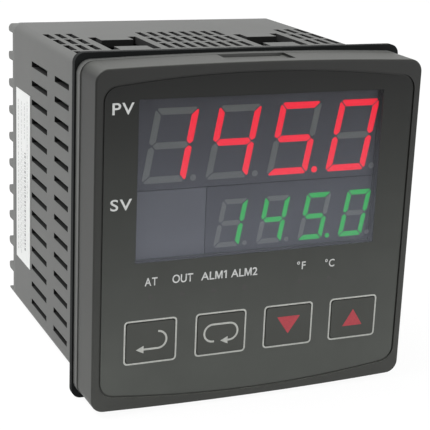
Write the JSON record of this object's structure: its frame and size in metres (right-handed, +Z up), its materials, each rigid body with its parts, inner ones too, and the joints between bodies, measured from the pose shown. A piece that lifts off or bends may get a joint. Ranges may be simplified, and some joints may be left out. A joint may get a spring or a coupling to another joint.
{
  "type": "pid temperature controller",
  "caption": "Square panel-mount process temperature controller: grey plastic case with vents, rear terminal blocks, twin seven-segment displays and push keys.",
  "frame": {"origin": "centre of the panel cut-out, in the plane of the panel's front face, which is the gasket's rear face", "axes": "+X to the right of someone who faces the keys, +Y from the keys to the terminals, +Z up"},
  "size_m": [0.097, 0.0971, 0.0974],
  "materials": {
    "case_plastic": "fine matt texture",
    "bezel_plastic": "fine matt texture",
    "gasket_rubber": "matt",
    "printed_film": "fine satin texture",
    "smoked_pane": "clear smoked gloss",
    "display_body": "satin",
    "spacer_plastic": "satin",
    "circuit_board": "lacquered",
    "key_plastic": "satin film",
    "block_plastic": "matt",
    "contact_brass": "plated",
    "screw_steel": "zinc plated",
    "transformer_core": "taped winding",
    "capacitor_can": "sleeved",
    "relay_case": "moulded",
    "label_paper": "printed film",
    "led_lens": "diffused",
    "switch_plastic": "moulded"
  },
  "bodies": {
    "controller": {"rear_housing": "case_plastic", "panel_gasket": "gasket_rubber", "front_bezel": "bezel_plastic", "overlay_film": "printed_film", "display_window": "smoked_pane", "pv_display": "display_body", "sv_display": "display_body", "display_spacer": "spacer_plastic", "display_board": "circuit_board", "terminal_block_left": "block_plastic", "terminal_block_right": "block_plastic", "terminal_contacts": "contact_brass", "terminal_screws": "screw_steel", "power_board": "circuit_board", "output_board": "circuit_board", "transformer": "transformer_core", "filter_capacitor": "capacitor_can", "output_relay_1": "relay_case", "output_relay_2": "relay_case", "spec_label": "label_paper", "indicator_led_1": "led_lens", "indicator_led_2": "led_lens", "indicator_led_3": "led_lens", "indicator_led_4": "led_lens", "indicator_led_5": "led_lens", "indicator_led_6": "led_lens", "tact_switch_1": "switch_plastic", "tact_switch_2": "switch_plastic", "tact_switch_3": "switch_plastic", "tact_switch_4": "switch_plastic"},
    "enter_key": {"key_enter": "key_plastic", "switch_plunger_1": "switch_plastic"},
    "cycle_key": {"key_cycle": "key_plastic", "switch_plunger_2": "switch_plastic"},
    "down_key": {"key_down": "key_plastic", "switch_plunger_3": "switch_plastic"},
    "up_key": {"key_up": "key_plastic", "switch_plunger_4": "switch_plastic"}
  },
  "joints": [
    {"name": "enter_key_press", "type": "slide", "parent": "controller", "child": "enter_key", "axis": [0, 1, 0], "range_m": [0, 0.0004], "stiffness_N_per_m": 2000},
    {"name": "cycle_key_press", "type": "slide", "parent": "controller", "child": "cycle_key", "axis": [0, 1, 0], "range_m": [0, 0.0004], "stiffness_N_per_m": 2000},
    {"name": "down_key_press", "type": "slide", "parent": "controller", "child": "down_key", "axis": [0, 1, 0], "range_m": [0, 0.0004], "stiffness_N_per_m": 2000},
    {"name": "up_key_press", "type": "slide", "parent": "controller", "child": "up_key", "axis": [0, 1, 0], "range_m": [0, 0.0004], "stiffness_N_per_m": 2000}
  ]
}
